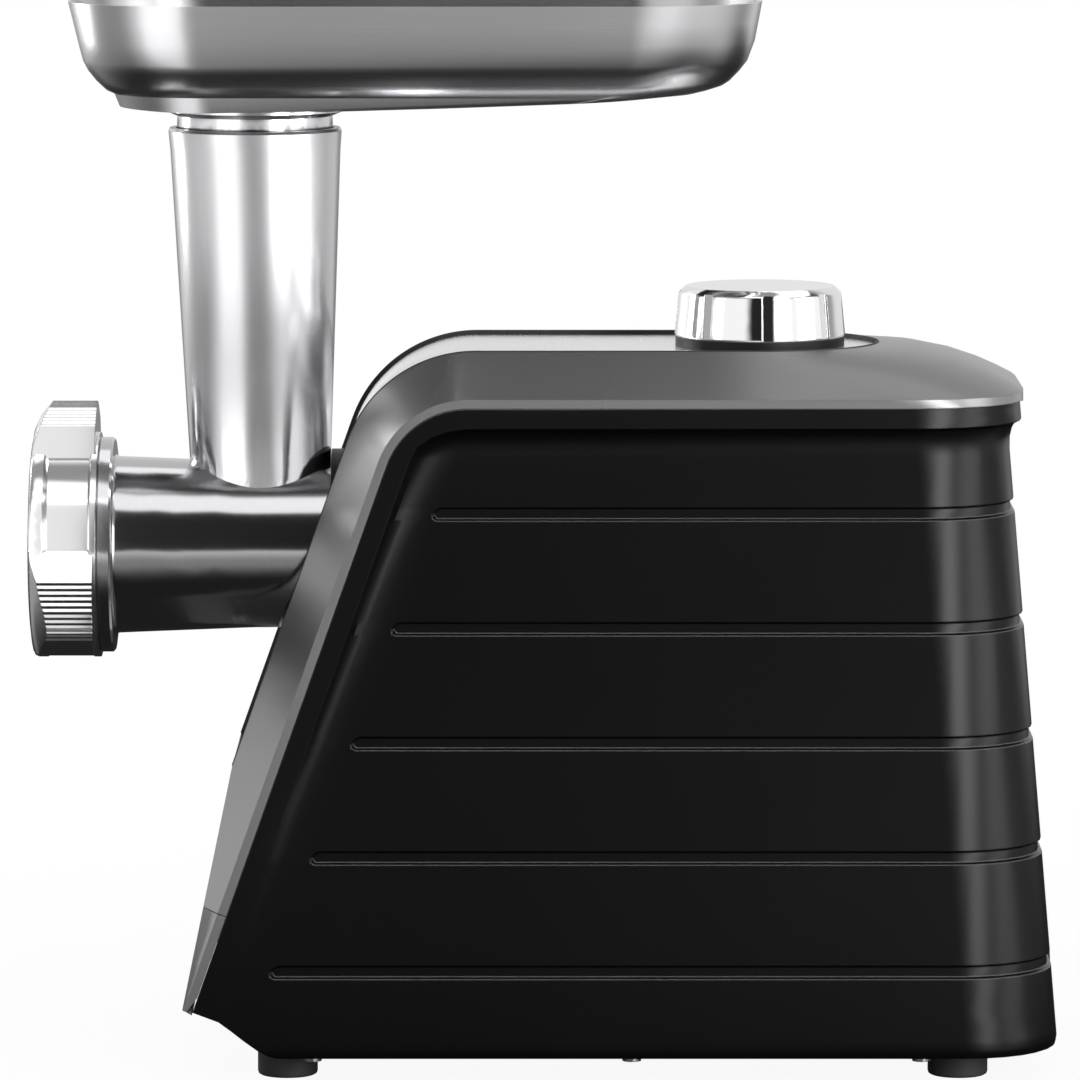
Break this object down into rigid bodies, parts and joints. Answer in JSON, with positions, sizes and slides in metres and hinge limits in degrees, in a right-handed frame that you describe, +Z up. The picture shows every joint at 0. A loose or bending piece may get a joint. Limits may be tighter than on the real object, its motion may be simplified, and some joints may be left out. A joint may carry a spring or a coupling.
{
  "type": "electric meat grinder",
  "caption": "Electric meat grinder: ribbed wedge-shaped housing with a grey cover and selector knob, a cast feed head with a ring nut and hole plate, and a lift-off feed tray.",
  "frame": {"origin": "centre of the bounding box in plan, at the bottom of the rubber feet", "axes": "+X from the ring nut towards the rear of the housing, along the drive axis; +Y across the machine; +Z up"},
  "size_m": [0.351, 0.1572, 0.363],
  "materials": {
    "housing_black": "fine moulded grain",
    "cover_grey": "satin",
    "panel_metal": "brushed",
    "gasket_rubber": "matte",
    "head_alloy": "polished casting",
    "chrome_trim": "mirror",
    "tray_steel": "bright pressed sheet",
    "cutter_steel": "ground",
    "screw_steel": "zinc",
    "auger_alloy": "as cast",
    "drive_plastic": "moulded",
    "inner_plastic": "moulded",
    "bearing_brass": "sintered",
    "motor_steel": "zinc coated",
    "copper": "enamelled wire",
    "carbon": "carbon",
    "terminal_white": "moulded"
  },
  "bodies": {
    "base": {"left_shell": "housing_black", "right_shell": "housing_black", "top_cover": "cover_grey", "front_apron": "cover_grey", "inlay_panel": "panel_metal", "panel_gasket": "gasket_rubber", "base_plate": "housing_black", "rubber_feet": "gasket_rubber", "base_screws": "screw_steel", "cord_bush": "gasket_rubber", "terminal_block": "terminal_white", "socket_ring": "housing_black", "gearbox_front": "inner_plastic", "gearbox_rear": "inner_plastic", "gearbox_screws": "screw_steel", "output_bearings": "bearing_brass", "idler_pins": "screw_steel", "motor_bearings": "bearing_brass", "motor_frame": "motor_steel", "motor_front_cap": "inner_plastic", "motor_rear_cap": "inner_plastic", "stator_core": "motor_steel", "field_coils": "copper", "brush_holders": "bearing_brass", "carbon_brushes": "carbon", "motor_cradle": "inner_plastic", "selector_switch": "inner_plastic"},
    "drive": {"output_gear": "drive_plastic", "drive_spindle": "screw_steel", "auger": "auger_alloy", "auger_tang": "drive_plastic", "auger_stud": "cutter_steel", "cutting_knife": "cutter_steel"},
    "middle": {"middle_gear": "drive_plastic"},
    "first": {"first_gear": "drive_plastic"},
    "rotor": {"motor_shaft": "screw_steel", "rotor_core": "motor_steel", "rotor_windings": "copper", "commutator": "copper", "cooling_fan": "inner_plastic"},
    "head": {"head_casting": "head_alloy", "barrel_bush": "drive_plastic", "hole_plate": "cutter_steel", "plate_key": "cutter_steel"},
    "nut": {"ring_nut": "chrome_trim"},
    "feed_tray": {"tray": "tray_steel", "tray_spigot": "tray_steel"},
    "knob": {"knob_cap": "chrome_trim", "knob_ring": "housing_black", "knob_spindle": "screw_steel"}
  },
  "joints": [
    {"name": "drive_spin", "type": "hinge", "parent": "base", "child": "drive", "pos_m": [0, 0, 0.1752], "axis": [1, 0, 0], "continuous": true},
    {"name": "middle_spin", "type": "hinge", "parent": "base", "child": "middle", "pos_m": [0, 0, 0.12795], "axis": [1, 0, 0], "continuous": true},
    {"name": "first_spin", "type": "hinge", "parent": "base", "child": "first", "pos_m": [0, 0.03, 0.09611], "axis": [1, 0, 0], "continuous": true},
    {"name": "rotor_spin", "type": "hinge", "parent": "base", "child": "rotor", "pos_m": [0, 0, 0.07808], "axis": [1, 0, 0], "continuous": true},
    {"name": "head_twist", "type": "hinge", "parent": "base", "child": "head", "pos_m": [0, 0, 0.1752], "axis": [1, 0, 0], "range_deg": [0, 32]},
    {"name": "nut_turn", "type": "hinge", "parent": "head", "child": "nut", "pos_m": [0, 0, 0.1752], "axis": [-1, 0, 0], "range_deg": [0, 360]},
    {"name": "tray_lift", "type": "slide", "parent": "head", "child": "feed_tray", "axis": [0, 0, 1], "range_m": [0, 0.06]},
    {"name": "knob_turn", "type": "hinge", "parent": "base", "child": "knob", "pos_m": [0.0745, 0, 0.246], "axis": [0, 0, 1], "range_deg": [-60, 60]}
  ],
  "couplings": [
    {"joint": "middle_spin", "follows": "drive_spin", "ratio": -3.5},
    {"joint": "first_spin", "follows": "drive_spin", "ratio": 14},
    {"joint": "rotor_spin", "follows": "drive_spin", "ratio": -56}
  ]
}
